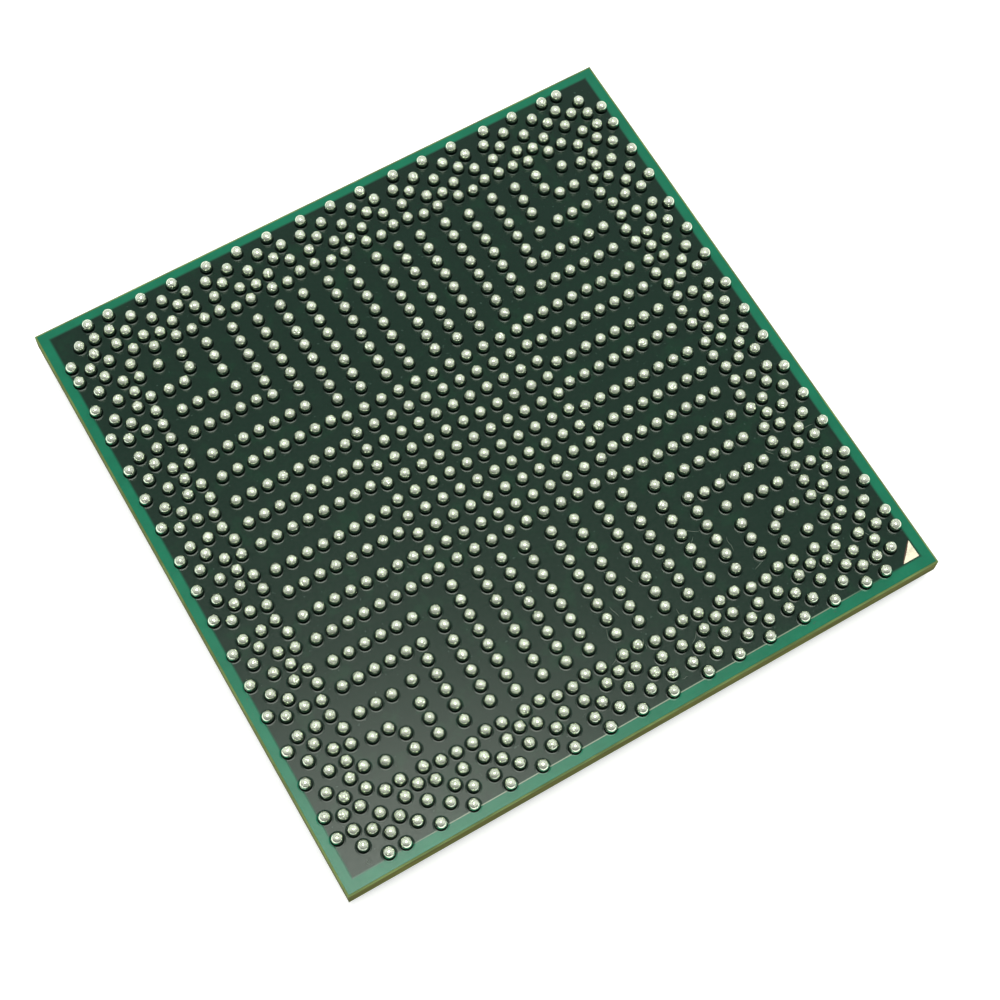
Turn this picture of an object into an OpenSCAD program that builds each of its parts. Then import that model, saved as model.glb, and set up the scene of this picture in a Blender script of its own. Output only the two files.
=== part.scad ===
// Flip-chip ball grid array package, 27 mm square, with its solder balls facing up.
// Z = 0 is the back of the silicon die, +Z points from the die to the balls,
// and the pin-one triangle stands in the corner at +X and -Y.
// Construction, from the bottom up: silicon die, underfill, solder mask, copper,
// build-up resin, core laminate, build-up resin, copper with contact pads,
// solder mask with one opening for each pad, and the solder balls.

/* [Board] */
// Side of the square substrate
board_w = 27.0; // [27.0:0.1:30.0]
// Thickness of the glass-fibre core laminate
core_t = 0.74; // [0.40:0.01:1.00]
// Thickness of the build-up resin on each face of the core
resin_t = 0.07; // [0.04:0.01:0.12]
// Thickness of the outer copper on each face
copper_t = 0.015; // [0.010:0.001:0.030]
// Thickness of the solder mask over the copper
mask_t = 0.020; // [0.015:0.001:0.035]
// Bare resin left between the edge of the mask and the edge of the board
mask_pullback = 0.07; // [0.03:0.01:0.15]
// Bare laminate between the edge of the copper plane and the edge of the board
copper_inset = 0.48; // [0.35:0.01:0.60]
// Shift of the ball-side copper plane towards +Y
copper_shift = 0.06; // [0.00:0.01:0.10]
// Corner radius of the copper planes
copper_corner_r = 0.15; // [0.05:0.01:0.15]

/* [Balls] */
// Widest diameter of a solder ball
ball_d = 0.50; // [0.46:0.01:0.60]
// Diameter of the mask opening that the solder fills
opening_d = 0.36; // [0.30:0.01:0.38]
// Width of the pad that stays covered by the mask, all round
pad_lap = 0.105; // [0.060:0.005:0.110]
// Clear ring between a pad and the copper plane
pad_gap = 0.045; // [0.030:0.005:0.050]

/* [Ball map] */
// Pitch of the centre grid along X
centre_pitch_x = 0.806; // [0.780:0.002:0.820]
// Pitch of the centre grid along Y
centre_pitch_y = 0.846; // [0.820:0.002:0.860]
// Columns of the centre grid
centre_columns = 11; // [5:2:11]
// Rows of the centre grid
centre_rows = 10; // [4:2:10]
// Pitch along a fan column
column_pitch = 0.7112; // [0.7060:0.0002:0.7130]
// Spacing of the repeated groups in an edge band
group_pitch = 4.50; // [4.49:0.01:4.51]
// Shift of the edge band groups towards the right of their side
group_shift = 0.10; // [0.08:0.01:0.12]

/* [Pin-one mark] */
// Length of the two straight legs of the gold triangle
mark_leg = 0.75; // [0.40:0.05:0.80]
// Distance of the mark from the two edges of the copper plane
mark_inset = 0.06; // [0.05:0.01:0.12]
// Thickness of the nickel and gold over the copper
gold_t = 0.006; // [0.004:0.001:0.010]

/* [Die] */
// Size of the die along X
die_x = 9.6; // [6.0:0.1:14.0]
// Size of the die along Y
die_y = 10.4; // [6.0:0.1:14.0]
// Thickness of the die
die_t = 0.78; // [0.40:0.01:0.90]
// Gap under the die that the underfill bridges
bump_gap = 0.07; // [0.05:0.01:0.10]
// Reach of the underfill fillet over the board
fillet_w = 0.90; // [0.40:0.05:1.50]
// Part of the die's thickness that the fillet climbs
fillet_climb = 0.65; // [0.30:0.05:0.90]

/* [Hidden] */
$fn = 24;
// Heights of the stack, from the back of the die up
mask_low_z = die_t + bump_gap;
copper_low_z = mask_low_z + mask_t;
resin_low_z = copper_low_z + copper_t;
core_z = resin_low_z + resin_t;
resin_high_z = core_z + core_t;
copper_high_z = resin_high_z + resin_t;
mask_high_z = copper_high_z + copper_t;
top_z = mask_high_z + mask_t;

// Outlines
mask_w = board_w - 2 * mask_pullback;
copper_w = board_w - 2 * copper_inset;

// Solder balls, pads and their clear rings
ball_r = ball_d / 2;
opening_r = opening_d / 2;
pad_r = opening_r + pad_lap;
clear_r = pad_r + pad_gap;
// The ball meets the mask where it is as wide as the opening
ball_rise = sqrt(ball_r * ball_r - opening_r * opening_r);

// The outer row of balls, and the heights of the other rows of the edge band, as steps inwards
outer_row = 12.81;

// One side of the map, seen with its board edge at the top: [x, y of the top ball, balls in the column]
fan_columns = [
    [-9.65, 9.74, 1], [-8.57, 9.71, 2], [-7.45, 9.65, 3], [-6.20, 9.73, 5], [-5.10, 9.55, 6],
    [-3.98, 9.68, 8], [-2.89, 9.68, 8], [-1.69, 9.68, 8], [-0.63, 9.68, 8], [0.62, 9.68, 8],
    [1.68, 9.68, 8], [2.75, 9.68, 8], [3.97, 9.68, 8],
    [5.06, 9.56, 7], [6.31, 9.74, 5], [7.43, 9.71, 3], [8.51, 9.77, 2]
];
// Two balls that close the short columns, off their grid
fan_closers = [[6.18, 6.20], [7.27, 7.33]];

// One group of the edge band: [distance from its middle line, step in from the outer row]
group_middle = [[0, 0.00], [0, 1.02], [0, 1.77]];
group_pairs = [
    [1.44, 0.00], [0.72, 0.51], [1.79, 0.62], [1.21, 1.02], [1.79, 1.42],
    [0.67, 1.57], [1.90, 2.11], [0.51, 2.25], [1.21, 2.30]
];
// The first and last groups stop short of these, because two sides meet in the corners
group_left = -10.30;
group_right = 10.40;
// The innermost row of the groups, deeper than inner_row, stops sooner
inner_row = 2.28;
inner_left = -9.80;
inner_right = 7.50;
// Balls that fill the two corners instead: [x, y]
left_corner = [
    [-11.37, 12.79], [-11.39, 12.10], [-10.41, 12.81],
    [-10.69, 12.15], [-10.71, 11.43], [-10.20, 10.89]
];
right_corner = [
    [10.61, 12.81], [11.36, 12.81], [12.07, 12.10], [11.46, 11.72],
    [10.92, 12.16], [10.90, 11.31], [10.30, 10.63], [7.89, 10.68]
];

// Ball positions

function centred(i, n, pitch) = (i - (n - 1) / 2) * pitch;

function centre_map() = [
    for (i = [0 : centre_columns - 1])
        for (j = [0 : centre_rows - 1])
            [centred(i, centre_columns, centre_pitch_x), centred(j, centre_rows, centre_pitch_y)]
];

function fan_map() = concat(
    [for (c = fan_columns) for (k = [0 : c[2] - 1]) [c[0], c[1] - k * column_pitch]],
    fan_closers
);

// A group ball is left out where the corners take over
function in_band(p) =
    p[0] > group_left && p[0] < group_right
    && (outer_row - p[1] < inner_row || (p[0] > inner_left && p[0] < inner_right));

function group_balls() = concat(
    group_middle,
    group_pairs,
    [for (p = group_pairs) [-p[0], p[1]]]
);

function edge_map() = concat(
    [
        for (g = [-2 : 2])
            for (p = group_balls())
                let (q = [group_shift + g * group_pitch + p[0], outer_row - p[1]])
                    if (in_band(q)) q
    ],
    left_corner,
    right_corner
);

function turned(points, turns) = [
    for (p = points)
        turns == 0 ? p :
        turns == 1 ? [-p[1], p[0]] :
        turns == 2 ? [-p[0], -p[1]] :
        [p[1], -p[0]]
];

function side_map() = concat(fan_map(), edge_map());

function whole_map() = concat(
    centre_map(),
    [for (t = [0 : 3]) for (p = turned(side_map(), t)) p]
);

// The pads whose clear ring crosses the edge of the copper plane
function over_edge(points) = [
    for (p = points)
        if (max(abs(p[0]), abs(p[1] - copper_shift)) > copper_w / 2 - clear_r) p
];

// Shared shapes

module plate(w, z, t) {
    translate([-w / 2, -w / 2, z])
        cube([w, w, t]);
}

module dots(points, r) {
    for (p = points)
        translate(p)
            circle(r = r);
}

module rounded_square(w, r) {
    square([w, w - 2 * r], center = true);
    square([w - 2 * r, w], center = true);
    dots([for (x = [-1, 1]) for (y = [-1, 1]) [x, y] * (w / 2 - r)], r);
}

// A right triangle with its square corner in the plane's corner at +X and -Y
module mark_outline() {
    reach = copper_w / 2 - mark_inset;
    translate([reach, copper_shift - reach])
        polygon([[0, 0], [0, mark_leg], [-mark_leg, 0]]);
}

// A ball and the neck that fills its mask opening, turned about its own axis
module solder_ball() {
    rotate_extrude() {
        translate([0, mask_high_z])
            square([opening_r, mask_t]);
        intersection() {
            translate([0, top_z + ball_rise])
                circle(r = ball_r);
            translate([0, top_z])
                square([ball_d, 2 * ball_d]);
        }
    }
}

module ball_group(points) {
    for (p = points)
        translate(p)
            color([0.80, 0.82, 0.80])
                solder_ball();
}

// Pieces

module silicon_die() {
    color([0.35, 0.36, 0.40])
        translate([-die_x / 2, -die_y / 2, 0])
            cube([die_x, die_y, die_t]);
}

// Cross-section of the underfill through one side pair of the die, with sloping fillets
module fillet_section(across) {
    foot = across / 2 + fillet_w;
    climb_z = die_t * (1 - fillet_climb);
    polygon([[-foot, mask_low_z], [foot, mask_low_z], [across / 2, climb_z], [-across / 2, climb_z]]);
}

module underfill() {
    climb_h = mask_low_z - die_t * (1 - fillet_climb);
    color([0.55, 0.45, 0.30])
        difference() {
            union() {
                translate([-die_x / 2, 0, 0])
                    rotate([90, 0, 90])
                        linear_extrude(height = die_x)
                            fillet_section(die_y);
                translate([0, die_y / 2, 0])
                    rotate([90, 0, 0])
                        linear_extrude(height = die_y)
                            fillet_section(die_x);
                for (x = [-1, 1])
                    for (y = [-1, 1])
                        translate([x * die_x / 2, y * die_y / 2, mask_low_z - climb_h])
                            cylinder(r1 = 0, r2 = fillet_w, h = climb_h);
            }
            silicon_die();
        }
}

// Solder mask: a sheet over the copper, with a rim that reaches down to the resin round the plane
// and round the clear rings that cross the plane's edge
module mask_sheet(z, rim_z, shift, edge_pads) {
    plate(mask_w, z, mask_t);
    difference() {
        plate(mask_w, rim_z, copper_t);
        translate([0, 0, rim_z - copper_t])
            linear_extrude(height = 3 * copper_t) {
                translate([0, shift])
                    rounded_square(copper_w, copper_corner_r);
                dots(edge_pads, clear_r);
            }
    }
}

module mask_die_side() {
    color([0.05, 0.30, 0.20])
        mask_sheet(mask_low_z, copper_low_z, 0, []);
}

module copper_die_side() {
    color([0.72, 0.45, 0.25])
        translate([0, 0, copper_low_z])
            linear_extrude(height = copper_t)
                rounded_square(copper_w, copper_corner_r);
}

module resin_die_side() {
    color([0.60, 0.60, 0.35])
        plate(board_w, resin_low_z, resin_t);
}

module core_laminate() {
    color([0.55, 0.55, 0.30])
        plate(board_w, core_z, core_t);
}

module resin_ball_side() {
    color([0.60, 0.60, 0.35])
        plate(board_w, resin_high_z, resin_t);
}

module copper_ball_side() {
    color([0.72, 0.45, 0.25])
        translate([0, 0, copper_high_z])
            linear_extrude(height = copper_t)
                difference() {
                    translate([0, copper_shift])
                        rounded_square(copper_w, copper_corner_r);
                    dots(whole_map(), clear_r);
                }
}

module contact_pads() {
    color([0.80, 0.62, 0.30])
        translate([0, 0, copper_high_z])
            linear_extrude(height = copper_t)
                dots(whole_map(), pad_r);
}

module mask_ball_side() {
    color([0.05, 0.35, 0.22])
        difference() {
            mask_sheet(mask_high_z, copper_high_z, copper_shift, over_edge(whole_map()));
            translate([0, 0, mask_high_z - copper_t])
                linear_extrude(height = mask_t + 2 * copper_t) {
                    dots(whole_map(), opening_r);
                    mark_outline();
                }
        }
}

// Gold plating on the copper, seen through the triangular window of the mask
module pin_one_gold() {
    color([0.95, 0.80, 0.50])
        translate([0, 0, mask_high_z])
            linear_extrude(height = gold_t)
                mark_outline();
}

module balls_centre() {
    ball_group(centre_map());
}

silicon_die();
underfill();
mask_die_side();
copper_die_side();
resin_die_side();
core_laminate();
resin_ball_side();
copper_ball_side();
contact_pads();
mask_ball_side();
pin_one_gold();
balls_centre();
ball_group(turned(fan_map(), 0));  // balls_fan_north
ball_group(turned(fan_map(), 1));  // balls_fan_west
ball_group(turned(fan_map(), 2));  // balls_fan_south
ball_group(turned(fan_map(), 3));  // balls_fan_east
ball_group(turned(edge_map(), 0));  // balls_edge_north
ball_group(turned(edge_map(), 1));  // balls_edge_west
ball_group(turned(edge_map(), 2));  // balls_edge_south
ball_group(turned(edge_map(), 3));  // balls_edge_east
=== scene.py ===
import math

import bpy
import numpy as np
from bpy.props import FloatProperty, FloatVectorProperty, IntProperty, PointerProperty
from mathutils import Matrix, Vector
from mathutils.geometry import delaunay_2d_cdt


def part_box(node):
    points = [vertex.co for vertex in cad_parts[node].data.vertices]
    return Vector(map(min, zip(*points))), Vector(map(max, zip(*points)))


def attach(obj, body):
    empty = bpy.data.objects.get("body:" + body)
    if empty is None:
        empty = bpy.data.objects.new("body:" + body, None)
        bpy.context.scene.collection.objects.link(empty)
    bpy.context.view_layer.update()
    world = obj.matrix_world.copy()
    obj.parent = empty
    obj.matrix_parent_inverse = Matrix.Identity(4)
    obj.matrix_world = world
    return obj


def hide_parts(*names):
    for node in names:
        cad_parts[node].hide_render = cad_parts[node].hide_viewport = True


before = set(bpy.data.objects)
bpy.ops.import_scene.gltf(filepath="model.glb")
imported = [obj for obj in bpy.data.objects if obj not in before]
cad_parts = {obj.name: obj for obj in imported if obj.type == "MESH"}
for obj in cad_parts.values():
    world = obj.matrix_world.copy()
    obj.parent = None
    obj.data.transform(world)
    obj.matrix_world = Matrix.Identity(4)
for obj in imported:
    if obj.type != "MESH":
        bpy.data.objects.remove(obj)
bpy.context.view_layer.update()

bl_info = {
    "name": "Ball grid array package",
    "version": (1, 0, 0),
    "blender": (4, 5, 0),
    "location": "3D View > Sidebar > Package",
    "description": "Builds the finish of a flip-chip ball grid array package around its solid model",
    "category": "Object",
}

MM = 0.001
TAU = 2 * math.pi
SIDES = ("north", "west", "south", "east")
INNER_BALLS = ["balls_centre"] + [f"balls_fan_{side}" for side in SIDES]
EDGE_BALLS = [f"balls_edge_{side}" for side in SIDES]
BALL_NODES = INNER_BALLS + EDGE_BALLS

# Level direction from the package to the darker side of the tent
NEAR_SIDE = (-0.528, -0.849, 0.0)

# Blur, to each side, of the mask's colour and of its fall at the edge of the copper plane
EDGE_BLUR = 0.07 * MM
FALL_BLUR = 0.03 * MM

# A painted highlight along the copper plane's -Y edge, in place of the sheen on the mask's step
# there: its solid and its faded half width, how far from the middle of the edge it starts to fade
# and ends, and its strength
PAINTED_HIGHLIGHT_LINE = (0.012 * MM, 0.030 * MM)
PAINTED_HIGHLIGHT_FADE = (7.5 * MM, 11.5 * MM)
PAINTED_HIGHLIGHT_STRENGTH = 0.7
# Colour of the painted highlight
PAINTED_HIGHLIGHT_COLOUR = (0.34, 0.38, 0.28)

# Dust in the mask: its colour and strength
DUST_COLOUR = (0.045, 0.095, 0.075)
DUST_STRENGTH = 0.55

# How far from straight up the witness marks on a ball lie at most
DENT_SPREAD = math.radians(38.0)

# Half width and height of the fibres on the mask, and of the line along the gold mark
FIBRE = (0.013 * MM, 0.004 * MM)
MARK_LINE = (0.030 * MM, 0.003 * MM)
MARK_LINE_GAP = 0.018 * MM

# A ridge's width follows a sine from this angle to the same angle before the half turn
TIP_ANGLE = 0.35

# Stray fibres, in millimetres: the corner and the size of the area where they start, and the
# least length of one step and what is added to it at most. The bend between steps is an angle.
FIBRE_CORNER = (0.0, -12.6)
FIBRE_AREA = (12.0, 7.0)
FIBRE_STEP = (0.05, 0.08)
FIBRE_STEPS = 6
FIBRE_BEND = 0.22

# Two fibres and the small ring that lie at places of their own, in millimetres
CURVED_FIBRE = [(3.00, -11.54), (3.13, -11.45), (3.27, -11.36), (3.36, -11.27), (3.41, -11.16)]
SHORT_FIBRE = [(1.93, -12.52), (2.02, -12.56), (2.10, -12.52), (2.19, -12.55)]
SMALL_RING_CENTRE = (-12.17, -12.72)
SMALL_RING_RADIUS = 0.085


# ---------------------------------------------------------------------------
# Sizes and colours that a user would change


class StageSettings(bpy.types.PropertyGroup):
    """Camera, floor, tent and softbox."""

    camera_place: FloatVectorProperty(
        name="Camera place",
        description="Where the camera stands, in the package's own frame",
        default=(-0.018346, -0.029508, 0.080073),
        subtype="TRANSLATION",
        unit="LENGTH",
        precision=6,
    )
    camera_turn: FloatVectorProperty(
        name="Camera turn",
        description="Rotation of the camera",
        default=(math.radians(22.485), math.radians(-1.300), math.radians(-30.365)),
        subtype="EULER",
        unit="ROTATION",
    )
    lens: FloatProperty(
        name="Lens",
        description="Focal length in millimetres on a 36 mm sensor",
        default=75.5,
        min=20.0,
    )
    floor_size: FloatProperty(
        name="Floor size", description="Side of the floor", default=2.0, unit="LENGTH", min=0.2
    )
    floor_colour: FloatVectorProperty(
        name="Floor colour",
        description="Colour of the floor",
        default=(0.86, 0.86, 0.86),
        subtype="COLOR",
        min=0.0,
        max=1.0,
    )
    floor_glow: FloatProperty(
        name="Floor glow",
        description="Light that the seen floor adds to its own colour",
        default=0.50,
        min=0.0,
    )
    tent_high: FloatProperty(
        name="Tent, high",
        description="Strength of the white tent above the far side",
        default=0.84,
        min=0.0,
    )
    tent_low: FloatProperty(
        name="Tent, low",
        description="Strength of the tent at the far side's horizon",
        default=0.25,
        min=0.0,
    )
    tent_near_high: FloatProperty(
        name="Near tent, high",
        description="Strength of the tent above the near side",
        default=0.46,
        min=0.0,
    )
    tent_near_low: FloatProperty(
        name="Near tent, low",
        description="Strength of the tent at the near horizon",
        default=0.18,
        min=0.0,
    )
    tent_top: FloatProperty(
        name="Tent, overhead",
        description="Strength of the tent straight overhead",
        default=0.47,
        min=0.0,
    )
    lamp_level: FloatProperty(
        name="Lamp level",
        description="Brightness of the softbox's face, where white is 1",
        default=8.0,
        min=0.0,
    )
    lamp_height: FloatProperty(
        name="Lamp height", description="Height of the softbox", default=0.60, unit="LENGTH", min=0.1
    )
    lamp_size: FloatProperty(
        name="Lamp size", description="Diameter of the softbox", default=0.304, unit="LENGTH", min=0.01
    )
    lamp_colour: FloatVectorProperty(
        name="Lamp colour",
        description="Colour of the softbox's light",
        default=(0.97, 1.0, 0.90),
        subtype="COLOR",
        min=0.0,
        max=1.0,
    )


class BallSettings(bpy.types.PropertyGroup):
    """Solder balls."""

    colour: FloatVectorProperty(
        name="Solder colour",
        description="Colour of the bright solder",
        default=(0.88, 0.96, 0.78),
        subtype="COLOR",
        min=0.0,
        max=1.0,
    )
    roughness: FloatProperty(
        name="Solder roughness", description="How dull the solder is", default=0.16, min=0.0, max=1.0
    )
    pit_depth: FloatProperty(
        name="Pit depth",
        description="Depth of the small pits on the balls",
        default=0.012 * MM,
        unit="LENGTH",
        precision=6,
        min=0.0,
    )
    segments: IntProperty(
        name="Segments", description="Segments round one ball", default=22, min=8, max=32
    )
    rings: IntProperty(
        name="Rings",
        description="Rings between the neck and the top of one ball",
        default=11,
        min=5,
        max=20,
    )
    dent_depth: FloatProperty(
        name="Dent depth",
        description="Depth of the deepest witness mark on a ball",
        default=0.012 * MM,
        unit="LENGTH",
        precision=6,
        min=0.0,
    )
    dent_reach: FloatProperty(
        name="Dent reach",
        description="Radius of a witness mark",
        default=0.055 * MM,
        unit="LENGTH",
        precision=6,
        min=0.00001,
    )


class MaskSettings(bpy.types.PropertyGroup):
    """Solder mask on the ball side."""

    over_copper: FloatVectorProperty(
        name="Over copper",
        description="Colour of the mask over the dark copper plane",
        default=(0.0002, 0.0200, 0.0100),
        subtype="COLOR",
        min=0.0,
        max=1.0,
    )
    over_resin: FloatVectorProperty(
        name="Over resin",
        description="Colour of the mask over bare resin, along the border",
        default=(0.0005, 0.185, 0.096),
        subtype="COLOR",
        min=0.0,
        max=1.0,
    )
    roughness: FloatProperty(
        name="Mask roughness", description="How dull the mask is", default=0.21, min=0.0, max=1.0
    )
    step_height: FloatProperty(
        name="Step height",
        description="How far the mask steps down from the rim of a pad to the field",
        default=0.0085 * MM,
        unit="LENGTH",
        precision=6,
        min=0.0,
    )
    step_foot: FloatProperty(
        name="Step foot",
        description="Radius at which the step round a pad reaches the field",
        default=0.335 * MM,
        unit="LENGTH",
        precision=6,
        min=0.0,
    )
    step_width: FloatProperty(
        name="Step width",
        description="Width of the slope round a pad",
        default=0.042 * MM,
        unit="LENGTH",
        precision=6,
        min=0.0,
    )
    fibres: IntProperty(
        name="Fibres", description="Stray fibres lying on the mask", default=22, min=0, max=200
    )
    rim_segments: IntProperty(
        name="Rim segments", description="Segments round the mask of one pad", default=18, min=8, max=32
    )


class BoardSettings(bpy.types.PropertyGroup):
    """Laminate, resin, copper and the mark."""

    laminate: FloatVectorProperty(
        name="Laminate",
        description="Colour of the sawn laminate edge",
        default=(0.125, 0.135, 0.018),
        subtype="COLOR",
        min=0.0,
        max=1.0,
    )
    resin: FloatVectorProperty(
        name="Resin",
        description="Colour of the build-up resin at the edge",
        default=(0.18, 0.25, 0.085),
        subtype="COLOR",
        min=0.0,
        max=1.0,
    )
    gold: FloatVectorProperty(
        name="Gold",
        description="Colour of the thin gold on the mark",
        default=(1.0, 0.94, 0.72),
        subtype="COLOR",
        min=0.0,
        max=1.0,
    )
    dark_copper: FloatVectorProperty(
        name="Dark copper",
        description="Colour of the copper planes under the mask",
        default=(0.30, 0.16, 0.10),
        subtype="COLOR",
        min=0.0,
        max=1.0,
    )
    pad_copper: FloatVectorProperty(
        name="Pad copper",
        description="Colour of the contact pads",
        default=(0.85, 0.55, 0.38),
        subtype="COLOR",
        min=0.0,
        max=1.0,
    )
    pad_gap: FloatProperty(
        name="Pad gap",
        description="Clear ring between a contact pad and the copper plane",
        default=0.045 * MM,
        unit="LENGTH",
        precision=6,
        min=0.0,
    )
    pad_segments: IntProperty(
        name="Pad segments", description="Segments round one contact pad", default=12, min=8, max=32
    )
    die_side_mask: FloatVectorProperty(
        name="Die-side mask",
        description="Colour of the solder mask on the die side",
        default=(0.010, 0.085, 0.048),
        subtype="COLOR",
        min=0.0,
        max=1.0,
    )


class DieSettings(bpy.types.PropertyGroup):
    """Silicon die and underfill."""

    silicon: FloatVectorProperty(
        name="Silicon",
        description="Colour of the polished back of the die",
        default=(0.045, 0.048, 0.058),
        subtype="COLOR",
        min=0.0,
        max=1.0,
    )
    underfill: FloatVectorProperty(
        name="Underfill",
        description="Colour of the epoxy round the die",
        default=(0.055, 0.040, 0.026),
        subtype="COLOR",
        min=0.0,
        max=1.0,
    )


GROUPS = {
    "package_stage": StageSettings,
    "package_balls": BallSettings,
    "package_mask": MaskSettings,
    "package_board": BoardSettings,
    "package_die": DieSettings,
}


# ---------------------------------------------------------------------------
# Meshes


def flat_ring(count, radius, height):
    """Points of one ring about the Z axis."""
    turn = np.arange(count) * TAU / count
    return np.stack([radius * np.cos(turn), radius * np.sin(turn), np.full(count, height)], axis=1)


def band_faces(count, rings):
    """Quads between rings of the same count, from the first ring to the last."""
    i = np.arange(count)
    j = (i + 1) % count
    first_band = np.stack([i, j, count + j, count + i], axis=1)
    return repeat_faces(first_band, count, rings - 1)


def repeat_faces(faces, points_each, copies):
    """The same faces for each of several copies of a point set."""
    shifts = points_each * np.arange(copies)[:, None, None]
    return (faces[None] + shifts).reshape(-1, faces.shape[1])


def mesh_piece(name, points, face_sets, material, smooth=True):
    """A mesh object from points and arrays of faces, riding on the package."""
    mesh = bpy.data.meshes.new(name)
    faces = [tuple(face) for part in face_sets for face in part.tolist()]
    mesh.from_pydata(points.tolist(), [], faces)
    mesh.validate()
    mesh.polygons.foreach_set("use_smooth", np.full(len(mesh.polygons), smooth))
    mesh.materials.append(material)
    mesh.update()
    piece = bpy.data.objects.new(name, mesh)
    bpy.context.scene.collection.objects.link(piece)
    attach(piece, "root")
    return piece


def node_points(node):
    """Vertices of a solid's mesh in the package frame."""
    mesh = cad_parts[node].data
    points = np.zeros(len(mesh.vertices) * 3, np.float32)
    mesh.vertices.foreach_get("co", points)
    return points.reshape(-1, 3).astype(float)


def islands(node):
    """Lowest and highest corners of each loose solid in a node, one row each."""
    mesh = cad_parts[node].data
    points = node_points(node)
    # Corners at the same place become one, so that edges join the faces of a solid
    cells = np.round(points / (0.0005 * MM)).astype(np.int64)
    _, merged = np.unique(cells, axis=0, return_inverse=True)
    merged = merged.reshape(-1)
    edges = np.zeros(len(mesh.edges) * 2, np.int32)
    mesh.edges.foreach_get("vertices", edges)
    a, b = merged[edges.reshape(-1, 2)].T
    label = np.arange(merged.max() + 1)
    while True:
        low = np.minimum(label[a], label[b])
        new = label.copy()
        np.minimum.at(new, a, low)
        np.minimum.at(new, b, low)
        new = new[new]
        if np.array_equal(new, label):
            break
        label = new
    _, group = np.unique(label[merged], return_inverse=True)
    group = group.reshape(-1)
    lows = np.full((group.max() + 1, 3), np.inf)
    highs = np.full((group.max() + 1, 3), -np.inf)
    np.minimum.at(lows, group, points)
    np.maximum.at(highs, group, points)
    return lows, highs


def centres(node):
    """Middle of each loose solid of a node, seen from above, and its radius."""
    lows, highs = islands(node)
    middle = (lows[:, :2] + highs[:, :2]) / 2
    radius = float(np.median(highs[:, 0] - lows[:, 0])) / 2
    return middle, radius


# ---------------------------------------------------------------------------
# Materials


class Nodes:
    """Short calls for a material's or world's node tree."""

    def __init__(self, tree):
        self.tree = tree
        tree.nodes.clear()

    def add(self, kind, **settings):
        node = self.tree.nodes.new(kind)
        for key, value in settings.items():
            setattr(node, key, value)
        return node

    def link(self, source, target):
        self.tree.links.new(source, target)

    def value(self, socket, given):
        """Sets a socket to a number, or links it to another socket."""
        if isinstance(given, bpy.types.NodeSocket):
            self.link(given, socket)
        else:
            socket.default_value = given

    def math(self, operation, a, b=0.0, c=0.0, clamp=False):
        node = self.add("ShaderNodeMath", operation=operation, use_clamp=clamp)
        for socket, given in zip(node.inputs, (a, b, c)):
            self.value(socket, given)
        return node.outputs[0]

    def mix(self, factor, a, b, blend="MIX"):
        node = self.add("ShaderNodeMix", data_type="RGBA", blend_type=blend)
        self.value(node.inputs[0], factor)
        self.value(node.inputs[6], a)
        self.value(node.inputs[7], b)
        return node.outputs[2]

    def blend(self, factor, a, b):
        """Mixes two numbers."""
        node = self.add("ShaderNodeMix", data_type="FLOAT")
        self.value(node.inputs[0], factor)
        self.value(node.inputs[2], a)
        self.value(node.inputs[3], b)
        return node.outputs[0]

    def noise(self, place, scale, detail=2.0, roughness=0.5):
        node = self.add("ShaderNodeTexNoise")
        self.link(place, node.inputs["Vector"])
        node.inputs["Scale"].default_value = scale
        node.inputs["Detail"].default_value = detail
        node.inputs["Roughness"].default_value = roughness
        return node.outputs["Fac"]

    def step(self, given, low, high, to_low=0.0, to_high=1.0):
        """A smooth step from low to high."""
        node = self.add("ShaderNodeMapRange", interpolation_type="SMOOTHSTEP")
        self.value(node.inputs["Value"], given)
        self.value(node.inputs["From Min"], low)
        self.value(node.inputs["From Max"], high)
        self.value(node.inputs["To Min"], to_low)
        self.value(node.inputs["To Max"], to_high)
        return node.outputs["Result"]

    def bump(self, height, distance, strength=1.0):
        node = self.add("ShaderNodeBump")
        self.link(height, node.inputs["Height"])
        node.inputs["Distance"].default_value = distance
        node.inputs["Strength"].default_value = strength
        return node.outputs["Normal"]


def rgba(colour):
    """A colour with full opacity."""
    return (*colour, 1.0)


def new_material(name):
    """A material with its node helper, its Principled shader and its object coordinates."""
    material = bpy.data.materials.new(name)
    material.use_nodes = True
    nodes = Nodes(material.node_tree)
    shader = nodes.add("ShaderNodeBsdfPrincipled")
    out = nodes.add("ShaderNodeOutputMaterial")
    nodes.link(shader.outputs["BSDF"], out.inputs["Surface"])
    place = nodes.add("ShaderNodeTexCoord").outputs["Object"]
    return material, nodes, shader, place


def axes_of(nodes, place):
    """The X, Y and Z of a place, as three sockets."""
    split = nodes.add("ShaderNodeSeparateXYZ")
    nodes.link(place, split.inputs["Vector"])
    return split.outputs["X"], split.outputs["Y"], split.outputs["Z"]


def solder_material(settings):
    """Bright solder, with a faint grain and small pits where it was probed."""
    material, nodes, shader, place = new_material("bright_solder")
    coarse = nodes.noise(place, 2600.0, 2.0, 0.5)
    fine = nodes.noise(place, 14000.0, 3.0, 0.6)
    pits = nodes.step(nodes.noise(place, 7500.0, 1.0, 0.4), 0.60, 0.70)
    tone = nodes.step(coarse, 0.35, 0.70)
    dull = tuple(0.86 * c for c in settings.colour)
    nodes.link(nodes.mix(tone, rgba(settings.colour), rgba(dull)), shader.inputs["Base Color"])
    shader.inputs["Metallic"].default_value = 1.0
    rough = nodes.step(fine, 0.30, 0.75, settings.roughness - 0.05, settings.roughness + 0.07)
    nodes.link(rough, shader.inputs["Roughness"])
    grain = nodes.bump(coarse, 0.010 * MM, 0.6)
    pitted = nodes.add("ShaderNodeBump", invert=True)
    nodes.link(pits, pitted.inputs["Height"])
    nodes.link(grain, pitted.inputs["Normal"])
    pitted.inputs["Distance"].default_value = settings.pit_depth
    nodes.link(pitted.outputs["Normal"], shader.inputs["Normal"])
    return material


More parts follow.
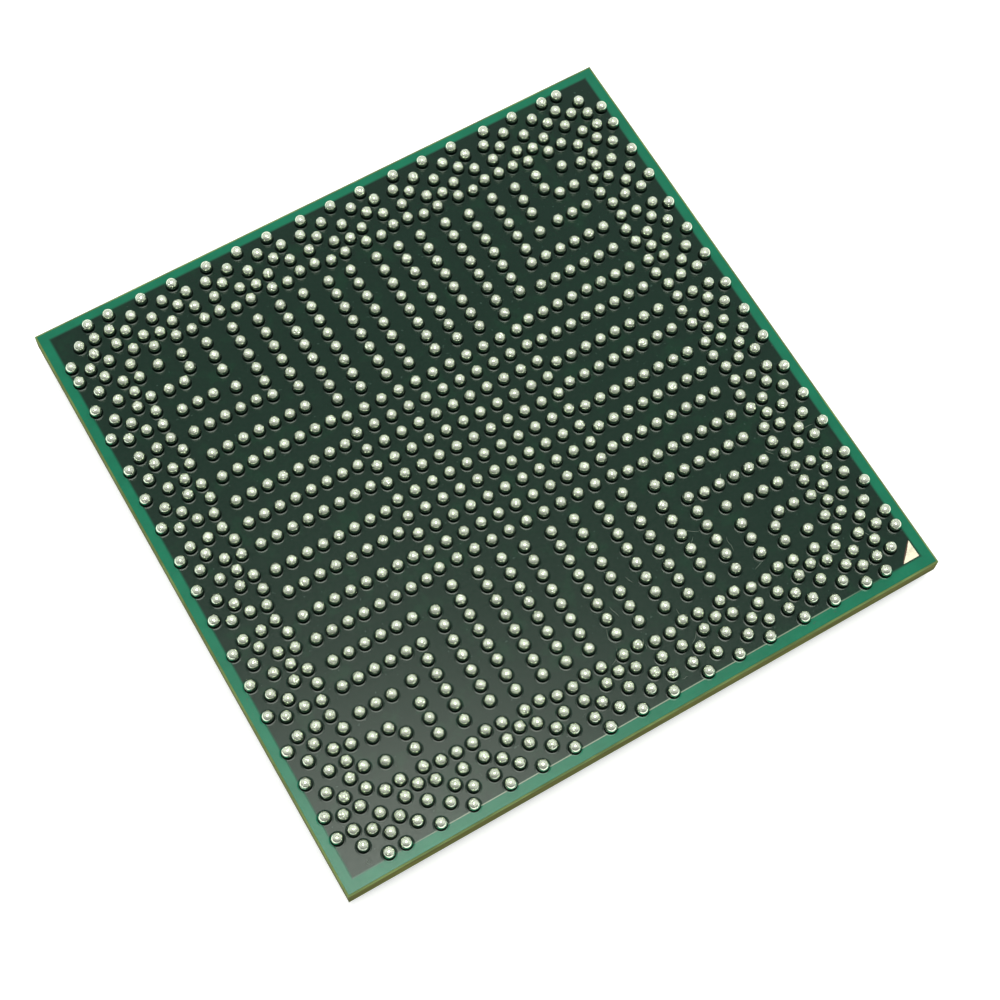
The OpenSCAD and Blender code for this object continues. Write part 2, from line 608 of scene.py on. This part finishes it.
def plane_edge(nodes, x, y):
    """Three masks round the copper plane's edge.

    border is 0 over the plane and 1 over bare resin, fall is the mask's height from 1 to 0 between
    them, and the third is a painted highlight, a line along the -Y edge in place of the sheen on
    the mask's step there.
    """
    low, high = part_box("copper_ball_side")
    half = (high[0] - low[0]) / 2
    dx = nodes.math("ABSOLUTE", nodes.math("SUBTRACT", x, (high[0] + low[0]) / 2))
    dy = nodes.math("ABSOLUTE", nodes.math("SUBTRACT", y, (high[1] + low[1]) / 2))
    reach = nodes.math("MAXIMUM", dx, dy)
    border = nodes.step(reach, half - EDGE_BLUR, half + EDGE_BLUR)
    fall = nodes.step(reach, half - FALL_BLUR, half + FALL_BLUR, 1.0, 0.0)
    # The painted highlight: a line along the -Y edge, fading towards the plane's corners
    from_edge = nodes.math("ABSOLUTE", nodes.math("SUBTRACT", y, low[1]))
    along_edge = nodes.step(dx, *PAINTED_HIGHLIGHT_FADE, 1.0, 0.0)
    line = nodes.step(from_edge, *PAINTED_HIGHLIGHT_LINE, PAINTED_HIGHLIGHT_STRENGTH, 0.0)
    painted_highlight = nodes.math("MULTIPLY", line, along_edge)
    return border, fall, painted_highlight


def mask_material(settings):
    """Glossy green mask: near black over copper and bright green over bare resin."""
    material, nodes, shader, place = new_material("ball_side_mask")
    x, y, _ = axes_of(nodes, place)
    border, fall, painted_highlight = plane_edge(nodes, x, y)
    cloud = nodes.noise(place, 900.0, 3.0, 0.6)
    grain = nodes.noise(place, 9000.0, 3.0, 0.6)
    dark = rgba(settings.over_copper)
    speck = nodes.step(cloud, 0.52, 0.72)
    greener = rgba((dark[0] * 1.2, dark[1] * 1.5, dark[2] * 1.3))
    field = nodes.mix(speck, dark, greener)
    rim = rgba(settings.over_resin)
    rim_dark = rgba(tuple(0.86 * c for c in settings.over_resin))
    edge = nodes.mix(nodes.step(cloud, 0.3, 0.7), rim, rim_dark)
    # The painted highlight along the plane's -Y edge is mixed into the colour here
    clean = nodes.mix(painted_highlight, nodes.mix(border, field, edge), rgba(PAINTED_HIGHLIGHT_COLOUR))
    dust = nodes.step(nodes.noise(place, 5200.0, 2.0, 0.6), 0.70, 0.76, 0.0, DUST_STRENGTH)
    nodes.link(nodes.mix(dust, clean, rgba(DUST_COLOUR)), shader.inputs["Base Color"])
    rough = nodes.step(grain, 0.2, 0.8, settings.roughness - 0.03, settings.roughness + 0.05)
    nodes.link(rough, shader.inputs["Roughness"])
    shader.inputs["Specular IOR Level"].default_value = 0.35
    surface = nodes.bump(grain, 0.0006 * MM, 0.5)
    edged = nodes.add("ShaderNodeBump")
    nodes.link(fall, edged.inputs["Height"])
    nodes.link(surface, edged.inputs["Normal"])
    edged.inputs["Distance"].default_value = 0.5 * settings.step_height
    nodes.link(edged.outputs["Normal"], shader.inputs["Normal"])
    return material


def pad_rim_painted_shade_material():
    """Mask over the rim of a pad, with the shade of its ball painted in as a near-black colour."""
    material, nodes, shader, place = new_material("pad_rim_painted_shade_mask")
    cloud = nodes.noise(place, 3000.0, 3.0, 0.6)
    # Painted shade: near-black colours and a low sheen stand in for the ball's shadow
    shade = nodes.mix(cloud, (0.0004, 0.0030, 0.0020, 1.0), (0.0010, 0.0060, 0.0045, 1.0))
    nodes.link(shade, shader.inputs["Base Color"])
    nodes.link(nodes.step(cloud, 0.2, 0.8, 0.26, 0.36), shader.inputs["Roughness"])
    shader.inputs["Specular IOR Level"].default_value = 0.08
    nodes.link(nodes.bump(cloud, 0.001 * MM, 0.5), shader.inputs["Normal"])
    return material


def laminate_material(name, colour, layers):
    """Sawn edge of a glass-fibre laminate, with faint layers and saw grain."""
    material, nodes, shader, place = new_material(name)
    stretch = nodes.add("ShaderNodeMapping")
    stretch.inputs["Scale"].default_value = (1.0, 1.0, layers)
    nodes.link(place, stretch.inputs["Vector"])
    band = nodes.noise(stretch.outputs["Vector"], 500.0, 3.0, 0.6)
    grain = nodes.noise(place, 6000.0, 3.0, 0.6)
    light = rgba(tuple(min(1.0, 1.25 * c) for c in colour))
    dark = rgba(tuple(0.72 * c for c in colour))
    tone = nodes.mix(nodes.step(band, 0.3, 0.7), light, dark)
    nodes.link(tone, shader.inputs["Base Color"])
    shader.inputs["Roughness"].default_value = 0.62
    shader.inputs["Specular IOR Level"].default_value = 0.04
    nodes.link(nodes.bump(grain, 0.004 * MM, 0.6), shader.inputs["Normal"])
    return material


def metal_material(name, colour, roughness, darkening):
    """A thin metal layer with a faint tarnish."""
    material, nodes, shader, place = new_material(name)
    cloud = nodes.noise(place, 1800.0, 3.0, 0.6)
    dull = rgba(tuple(darkening * c for c in colour))
    tone = nodes.mix(nodes.step(cloud, 0.35, 0.75), rgba(colour), dull)
    nodes.link(tone, shader.inputs["Base Color"])
    shader.inputs["Metallic"].default_value = 1.0
    rough = nodes.step(cloud, 0.3, 0.7, roughness - 0.04, roughness + 0.06)
    nodes.link(rough, shader.inputs["Roughness"])
    nodes.link(nodes.bump(cloud, 0.002 * MM, 0.5), shader.inputs["Normal"])
    return material


def plain_material(name, colour, roughness, spread, scale):
    """A dull or glossy non-metal with a gentle change of tone."""
    material, nodes, shader, place = new_material(name)
    cloud = nodes.noise(place, scale, 4.0, 0.6)
    darker = rgba(tuple((1.0 - spread) * c for c in colour))
    tone = nodes.mix(nodes.step(cloud, 0.3, 0.7), rgba(colour), darker)
    nodes.link(tone, shader.inputs["Base Color"])
    rough = nodes.step(cloud, 0.3, 0.7, roughness - 0.04, roughness + 0.06)
    nodes.link(rough, shader.inputs["Roughness"])
    nodes.link(nodes.bump(cloud, 0.003 * MM, 0.4), shader.inputs["Normal"])
    return material


def dress(node, material):
    """Gives a solid that stays its finish."""
    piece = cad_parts[node]
    piece.data.materials.clear()
    piece.data.materials.append(material)


def tent_world(settings):
    """A white tent, darker low down and on the side nearest the camera."""
    world = bpy.data.worlds.new("white_tent")
    world.use_nodes = True
    nodes = Nodes(world.node_tree)
    way = nodes.add("ShaderNodeTexCoord").outputs["Generated"]
    _, _, up = axes_of(nodes, way)

    def climb(low, high, at_low, at_high):
        """A smooth change of strength between two heights, in degrees above the horizon."""
        z_low = math.sin(math.radians(low))
        z_high = math.sin(math.radians(high))
        return nodes.step(up, z_low, z_high, at_low, at_high)

    far = climb(0.0, 25.0, settings.tent_low, settings.tent_high)
    near = climb(5.0, 55.0, settings.tent_near_low, settings.tent_near_high)
    facing = nodes.add("ShaderNodeVectorMath", operation="DOT_PRODUCT")
    nodes.link(way, facing.inputs[0])
    facing.inputs[1].default_value = NEAR_SIDE
    side = nodes.step(facing.outputs["Value"], -0.05, 0.75)
    wall = nodes.blend(side, far, near)
    overhead = climb(52.0, 66.0, 0.0, 1.0)
    background = nodes.add("ShaderNodeBackground")
    nodes.link(nodes.blend(overhead, wall, settings.tent_top), background.inputs["Color"])
    out = nodes.add("ShaderNodeOutputWorld")
    nodes.link(background.outputs[0], out.inputs["Surface"])
    return world


def floor_material(settings):
    """Pale floor with a glow where it is seen, and clear from below to show the die side."""
    material = bpy.data.materials.new("pale_floor")
    material.use_nodes = True
    nodes = Nodes(material.node_tree)
    diffuse = nodes.add("ShaderNodeBsdfDiffuse")
    diffuse.inputs["Color"].default_value = rgba(settings.floor_colour)
    glow = nodes.add("ShaderNodeEmission")
    rays = nodes.add("ShaderNodeLightPath")
    seen = nodes.math("MAXIMUM", rays.outputs["Is Camera Ray"], rays.outputs["Is Transmission Ray"])
    seen = nodes.math("MAXIMUM", seen, rays.outputs["Is Glossy Ray"])
    nodes.link(nodes.math("MULTIPLY", seen, settings.floor_glow), glow.inputs["Strength"])
    both = nodes.add("ShaderNodeAddShader")
    nodes.link(diffuse.outputs[0], both.inputs[0])
    nodes.link(glow.outputs[0], both.inputs[1])
    back = nodes.add("ShaderNodeNewGeometry").outputs["Backfacing"]
    clear = nodes.add("ShaderNodeBsdfTransparent")
    sided = nodes.add("ShaderNodeMixShader")
    nodes.link(back, sided.inputs[0])
    nodes.link(both.outputs[0], sided.inputs[1])
    nodes.link(clear.outputs[0], sided.inputs[2])
    out = nodes.add("ShaderNodeOutputMaterial")
    nodes.link(sided.outputs[0], out.inputs["Surface"])
    return material


# ---------------------------------------------------------------------------
# Pieces


def build_stage(settings):
    """Floor, white tent, softbox and camera."""
    scene = bpy.context.scene
    scene.view_settings.view_transform = "Standard"

    half = settings.floor_size / 2
    mesh = bpy.data.meshes.new("floor")
    corners = [(-half, -half, 0.0), (half, -half, 0.0), (half, half, 0.0), (-half, half, 0.0)]
    mesh.from_pydata(corners, [], [(0, 1, 2, 3)])
    floor = bpy.data.objects.new("floor", mesh)
    scene.collection.objects.link(floor)
    mesh.materials.append(floor_material(settings))

    scene.world = tent_world(settings)

    lamp = bpy.data.lights.new("softbox", "AREA")
    lamp.shape = "DISK"
    lamp.size = settings.lamp_size
    lamp.energy = settings.lamp_level * math.pi * math.pi * (settings.lamp_size / 2) ** 2
    lamp.color = settings.lamp_colour
    softbox = bpy.data.objects.new("softbox", lamp)
    softbox.location = (0.0, 0.0, settings.lamp_height)
    scene.collection.objects.link(softbox)

    camera = bpy.data.cameras.new("camera")
    camera.sensor_width = 36.0
    camera.lens = settings.lens
    camera.clip_start = 0.005
    camera.clip_end = 10.0
    eye = bpy.data.objects.new("camera", camera)
    eye.location = settings.camera_place
    eye.rotation_euler = settings.camera_turn
    scene.collection.objects.link(eye)
    scene.camera = eye


def ball_form(ball_r, neck_r, neck_z, floor_z, segments, rings):
    """One ball about the Z axis: a closed neck, the ball, and a point at the top."""
    centre_z = neck_z + math.sqrt(ball_r**2 - neck_r**2)
    widest = math.pi - math.asin(neck_r / ball_r)
    heights = [flat_ring(segments, neck_r, floor_z)]
    for k in range(rings):
        polar = widest * (1.0 - k / rings)
        radius = ball_r * math.sin(polar)
        heights.append(flat_ring(segments, radius, centre_z + ball_r * math.cos(polar)))
    points = np.concatenate(heights + [np.array([[0.0, 0.0, centre_z + ball_r]])])
    quads = band_faces(segments, rings + 1)
    i = np.arange(segments)
    last = rings * segments
    top = np.stack([last + i, last + (i + 1) % segments, np.full(segments, len(points) - 1)], 1)
    base = i[::-1][None]
    return points, quads, top, base, np.array([0.0, 0.0, centre_z])


def build_balls(settings):
    """Nine groups of solder balls, each ball with its own dents."""
    draw = np.random.default_rng(942)
    material = solder_material(settings)
    top_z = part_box("mask_ball_side")[1][2]
    floor_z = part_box("contact_pads")[1][2]
    for node in BALL_NODES:
        middles, ball_r = centres(node)
        neck_r = neck_radius(node, floor_z)
        points, quads, top, base, centre = ball_form(
            ball_r, neck_r, top_z, floor_z, settings.segments, settings.rings
        )
        count = len(middles)
        each = np.repeat(points[None], count, axis=0)
        outward = (each - centre) / ball_r
        outward[:, : settings.segments] = 0.0
        # Witness marks near the top of each ball
        for _ in range(2):
            tilt = DENT_SPREAD * np.sqrt(draw.random(count))
            turn = TAU * draw.random(count)
            mark = ball_r * np.stack(
                [np.sin(tilt) * np.cos(turn), np.sin(tilt) * np.sin(turn), np.cos(tilt)], axis=1
            )
            away = np.linalg.norm(each - centre - mark[:, None], axis=2) / settings.dent_reach
            depth = settings.dent_depth * draw.random(count) ** 2
            each = each - outward * (depth[:, None] * np.exp(-(away**2)))[..., None]
        each[:, :, :2] += middles[:, None]
        faces = [repeat_faces(part, len(points), count) for part in (quads, top, base)]
        piece = mesh_piece("solder_" + node, each.reshape(-1, 3), faces, material)
        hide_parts(node)


def neck_radius(node, floor_z):
    """Radius of the neck by which a ball stands on its pad."""
    points = node_points(node)
    middles, _ = centres(node)
    foot = points[np.abs(points[:, 2] - floor_z) < 0.001 * MM]
    # The first eight balls are enough, and points further off belong to other balls
    nearest = np.linalg.norm(foot[:, None, :2] - middles[None, :8], axis=2).min(axis=1)
    return float(np.median(nearest[nearest < 0.4 * MM]))


def sheet_between(outer, holes, low_z, high_z):
    """A flat sheet with an outline and holes, as points and triangles, with its walls."""
    rings = [outer] + holes
    flat = [tuple(map(float, p)) for ring in rings for p in ring]
    edges, start = [], 0
    for ring in rings:
        n = len(ring)
        edges += [(start + i, start + (i + 1) % n) for i in range(n)]
        start += n
    coords, _, tris, *_ = delaunay_2d_cdt([Vector(p) for p in flat], edges, [], 0, 1e-9)
    xy = np.array([tuple(c) for c in coords])
    tris = np.array(tris)
    inside = keep_inside(xy, tris, outer, holes)
    tris = tris[inside]
    a, b, c = (xy[tris[:, k]] for k in range(3))
    flip = np.cross(b - a, c - a) < 0
    tris[flip] = tris[flip][:, ::-1]
    n = len(xy)
    points = np.concatenate([np.c_[xy, np.full(n, high_z)], np.c_[xy, np.full(n, low_z)]])
    e = np.array(edges)
    walls = np.stack([e[:, 0], e[:, 0] + n, e[:, 1] + n, e[:, 1]], 1)
    return points, tris, tris[:, ::-1] + n, walls


def keep_inside(xy, tris, outer, holes):
    """Which triangles lie in the sheet: none has all its corners on one hole."""
    owner = np.full(len(xy), -1)
    start = len(outer)
    for k, hole in enumerate(holes):
        owner[start : start + len(hole)] = k
        start += len(hole)
    o = owner[tris]
    return ~((o[:, 0] >= 0) & (o[:, 0] == o[:, 1]) & (o[:, 1] == o[:, 2]))


def build_mask(settings):
    """Ball-side mask: the flat field, and the raised rim round each pad with its slope."""
    material = mask_material(settings)
    painted_shade_rim = pad_rim_painted_shade_material()
    low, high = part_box("mask_ball_side")
    under_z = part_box("copper_ball_side")[1][2]
    top_z = high[2]
    field_z = top_z - settings.step_height
    foot = settings.step_foot
    head = foot - settings.step_width
    n = settings.rim_segments
    outer = [(low[0], low[1]), (high[0], low[1]), (high[0], high[1]), (low[0], high[1])]
    pads, _ = centres("contact_pads")
    holes = [flat_ring(n, foot, 0.0)[:, :2] + middle for middle in pads]
    holes.append(mark_corners())
    points, top, bottom, walls = sheet_between(outer, holes, under_z, field_z)
    field = mesh_piece("ball_mask_field", points, [top, bottom, walls], material, smooth=False)
    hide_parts("mask_ball_side")

    neck_r = neck_radius("balls_centre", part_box("contact_pads")[1][2])
    ease = 0.12 * settings.step_width
    fall = 0.10 * settings.step_height
    # Radius and height round the section of a rim, from the neck outwards and back under it
    profile = [
        (neck_r, under_z),
        (neck_r, top_z),
        (head - ease, top_z),
        (head + ease, top_z - fall),
        (foot - ease, field_z + fall),
        (foot, field_z),
        (foot, under_z),
        (neck_r, under_z),
    ]
    rings = np.concatenate([flat_ring(n, r, z) for r, z in profile[:-1]])
    bands = band_faces(n, len(profile))[:, ::-1] % len(rings)
    for name, group in (("ball_mask_rims_inner", INNER_BALLS), ("ball_mask_rims_edge", EDGE_BALLS)):
        middles = np.concatenate([centres(node)[0] for node in group])
        each = np.repeat(rings[None], len(middles), axis=0)
        each[:, :, :2] += middles[:, None]
        faces = repeat_faces(bands, len(rings), len(middles))
        rims = mesh_piece(name, each.reshape(-1, 3), [faces], material)
        rims.data.materials.append(painted_shade_rim)
        # The opening's wall and the level part of the rim are the first two bands;
        # they take the painted shade of the ball
        band = (np.arange(len(faces)) % len(bands)) // n
        rims.data.polygons.foreach_set("material_index", (band < 2).astype(np.int32))


def mark_corners():
    """Corners of the gold triangle, in order round it."""
    points = node_points("pin_one_gold")
    flat = np.unique(np.round(points[:, :2], 7), axis=0)
    middle = flat.mean(axis=0)
    order = np.argsort(np.arctan2(*(flat - middle).T[::-1]))
    return flat[order]


def ridge(path, half_width, height, base_z):
    """A low closed ridge along a line of points, narrower at both ends.

    Each point of the line gives three corners: two at the foot and one at the crest.
    """
    path = np.asarray(path, float)
    ahead = np.gradient(path, axis=0)
    ahead /= np.linalg.norm(ahead, axis=1)[:, None]
    across = np.stack([-ahead[:, 1], ahead[:, 0]], axis=1)
    taper = half_width * np.sin(np.linspace(TIP_ANGLE, math.pi - TIP_ANGLE, len(path)))[:, None]
    flat = np.stack([path - across * taper, path + across * taper, path], axis=1)
    level = np.broadcast_to([base_z, base_z, base_z + height], (len(path), 3))[..., None]
    points = np.concatenate([flat, level], axis=2).reshape(-1, 3)
    last = 3 * (len(path) - 1)
    caps = np.array([[2, 1, 0], [last, last + 1, last + 2]])
    return points, band_faces(3, len(path)), caps


def fleck_lines(settings):
    """Middle lines of the fibres on the mask and of the small ring."""
    draw = np.random.default_rng(27)
    lines = [MM * np.array(CURVED_FIBRE), MM * np.array(SHORT_FIBRE)]
    for _ in range(settings.fibres):
        turn = TAU * draw.random()
        step = MM * (FIBRE_STEP[0] + FIBRE_STEP[1] * draw.random())
        x = FIBRE_CORNER[0] + FIBRE_AREA[0] * draw.random()
        y = FIBRE_CORNER[1] + FIBRE_AREA[1] * draw.random()
        spot = MM * np.array([x, y])
        line = [spot]
        for _ in range(FIBRE_STEPS):
            turn += draw.normal(0.0, FIBRE_BEND)
            spot = spot + step * np.array([math.cos(turn), math.sin(turn)])
            line.append(spot)
        lines.append(np.array(line))
    turns = np.linspace(0.0, TAU, 25)
    circle = SMALL_RING_RADIUS * np.stack([np.cos(turns), np.sin(turns)], axis=1)
    lines.append(MM * (circle + SMALL_RING_CENTRE))
    return lines


def build_flecks(settings):
    """Stray fibres and a small ring that lie on the mask."""
    field_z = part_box("mask_ball_side")[1][2] - settings.step_height
    dust = plain_material("pale_dust", (0.20, 0.26, 0.21), 0.45, 0.3, 9000.0)
    parts, faces, caps = [], [], []
    start = 0
    for line in fleck_lines(settings):
        points, bands, ends = ridge(line, *FIBRE, field_z)
        parts.append(points)
        faces.append(bands + start)
        caps.append(ends + start)
        start += len(points)
    flecks = mesh_piece("mask_flecks", np.concatenate(parts), faces + caps, dust)


def build_mark_line(settings):
    """Low ridge by the gold mark's long side, dark brown as painted shadow of the mask's edge."""
    field_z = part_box("mask_ball_side")[1][2] - settings.step_height
    corners = mark_corners()
    # The square corner lies nearest the package's +X -Y corner
    square = corners[np.argmax(corners[:, 0] - corners[:, 1])]
    slope = np.array([c for c in corners if not np.allclose(c, square)])
    outward = slope.mean(axis=0) - square
    outward /= np.linalg.norm(outward)
    line = np.linspace(slope[0], slope[1], 9) + MARK_LINE_GAP * outward
    points, bands, ends = ridge(line, *MARK_LINE, field_z)
    # Painted shadow: dark brown stands in for the shade under the mask's edge
    painted_shadow = plain_material("mark_edge_painted_shadow", (0.100, 0.034, 0.012), 0.5, 0.3, 6000.0)
    edge = mesh_piece("mark_edge_line", points, [bands, ends], painted_shadow, smooth=False)


def build_copper(settings):
    """Ball-side copper plane and the contact pads, both under the mask."""
    pads, pad_r = centres("contact_pads")
    low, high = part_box("copper_ball_side")
    n = settings.pad_segments
    clear_r = pad_r + settings.pad_gap
    outer = [(low[0], low[1]), (high[0], low[1]), (high[0], high[1]), (low[0], high[1])]
    # Only pads whose clear ring lies inside the plane cut a hole in it
    inside = np.abs(pads).max(axis=1) < high[0] - clear_r
    holes = [flat_ring(n, clear_r, 0.0)[:, :2] + middle for middle in pads[inside]]
    dark_copper = metal_material("dark_copper", tuple(settings.dark_copper), 0.45, 0.7)
    points, top, bottom, walls = sheet_between(outer, holes, low[2], high[2])
    plane = mesh_piece("ball_side_copper", points, [top, bottom, walls], dark_copper, smooth=False)
    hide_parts("copper_ball_side")

    pad_low, pad_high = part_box("contact_pads")
    rings = np.concatenate([flat_ring(n, pad_r, pad_low[2]), flat_ring(n, pad_r, pad_high[2])])
    each = np.repeat(rings[None], len(pads), axis=0)
    each[:, :, :2] += pads[:, None]
    i = np.arange(n)
    caps = np.stack([i[::-1], i + n])
    faces = [
        repeat_faces(band_faces(n, 2), len(rings), len(pads)),
        repeat_faces(caps, len(rings), len(pads)),
    ]
    bright_copper = metal_material("pad_copper", tuple(settings.pad_copper), 0.35, 0.8)
    discs = mesh_piece("pad_discs", each.reshape(-1, 3), faces, bright_copper, smooth=False)
    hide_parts("contact_pads")


def build_board(settings):
    """Core, build-up resin, die-side copper and mask, and the gold mark."""
    laminate = laminate_material("sawn_laminate", tuple(settings.laminate), 12.0)
    dress("core_laminate", laminate)
    resin = laminate_material("sawn_resin", tuple(settings.resin), 4.0)
    dress("resin_ball_side", resin)
    dress("resin_die_side", resin)
    copper = metal_material("die_side_copper", tuple(settings.dark_copper), 0.45, 0.7)
    dress("copper_die_side", copper)
    green = plain_material("die_side_mask", tuple(settings.die_side_mask), 0.28, 0.25, 700.0)
    dress("mask_die_side", green)
    gold = metal_material("thin_gold", tuple(settings.gold), 0.28, 0.93)
    dress("pin_one_gold", gold)


def build_die(settings):
    """Silicon die and its underfill."""
    silicon = plain_material("polished_silicon", tuple(settings.silicon), 0.12, 0.12, 300.0)
    dress("silicon_die", silicon)
    epoxy = plain_material("epoxy_fillet", tuple(settings.underfill), 0.30, 0.3, 600.0)
    dress("underfill", epoxy)


# ---------------------------------------------------------------------------
# Operators and panel


class PACKAGE_OT_stage(bpy.types.Operator):
    """Make the floor, the lights and the camera"""

    bl_idname = "package.stage"
    bl_label = "Stage"

    def execute(self, context):
        build_stage(context.scene.package_stage)
        return {"FINISHED"}


class PACKAGE_OT_board(bpy.types.Operator):
    """Finish the laminate, the resin, the die side and the gold mark"""

    bl_idname = "package.board"
    bl_label = "Board"

    def execute(self, context):
        build_board(context.scene.package_board)
        return {"FINISHED"}


class PACKAGE_OT_copper(bpy.types.Operator):
    """Make the copper plane and the contact pads"""

    bl_idname = "package.copper"
    bl_label = "Copper"

    def execute(self, context):
        build_copper(context.scene.package_board)
        return {"FINISHED"}


class PACKAGE_OT_mask(bpy.types.Operator):
    """Make the ball-side solder mask, its fibres and the line along the mark"""

    bl_idname = "package.mask"
    bl_label = "Solder mask"

    def execute(self, context):
        build_mask(context.scene.package_mask)
        build_flecks(context.scene.package_mask)
        build_mark_line(context.scene.package_mask)
        return {"FINISHED"}


class PACKAGE_OT_balls(bpy.types.Operator):
    """Make the solder balls"""

    bl_idname = "package.balls"
    bl_label = "Solder balls"

    def execute(self, context):
        build_balls(context.scene.package_balls)
        return {"FINISHED"}


class PACKAGE_OT_die(bpy.types.Operator):
    """Finish the silicon die and its underfill"""

    bl_idname = "package.die"
    bl_label = "Die"

    def execute(self, context):
        build_die(context.scene.package_die)
        return {"FINISHED"}


OPERATORS = (
    PACKAGE_OT_stage,
    PACKAGE_OT_board,
    PACKAGE_OT_copper,
    PACKAGE_OT_mask,
    PACKAGE_OT_balls,
    PACKAGE_OT_die,
)


class PACKAGE_PT_sidebar(bpy.types.Panel):
    """Lists the package's settings and pieces"""

    bl_idname = "PACKAGE_PT_sidebar"
    bl_label = "Ball grid array package"
    bl_space_type = "VIEW_3D"
    bl_region_type = "UI"
    bl_category = "Package"

    def draw(self, context):
        for name, group in GROUPS.items():
            box = self.layout.box()
            box.label(text=group.__doc__)
            for field in group.__annotations__:
                box.prop(getattr(context.scene, name), field)
        for operator in OPERATORS:
            self.layout.operator(operator.bl_idname)


def register():
    for group in GROUPS.values():
        bpy.utils.register_class(group)
    for name, group in GROUPS.items():
        setattr(bpy.types.Scene, name, PointerProperty(type=group))
    for entry in (*OPERATORS, PACKAGE_PT_sidebar):
        bpy.utils.register_class(entry)


def unregister():
    for entry in reversed((*OPERATORS, PACKAGE_PT_sidebar)):
        bpy.utils.unregister_class(entry)
    for name in GROUPS:
        delattr(bpy.types.Scene, name)
    for group in GROUPS.values():
        bpy.utils.unregister_class(group)


def main():
    register()
    bpy.ops.package.stage()
    bpy.ops.package.board()
    bpy.ops.package.copper()
    bpy.ops.package.mask()
    bpy.ops.package.balls()
    bpy.ops.package.die()


if __name__ == "__main__":
    main()
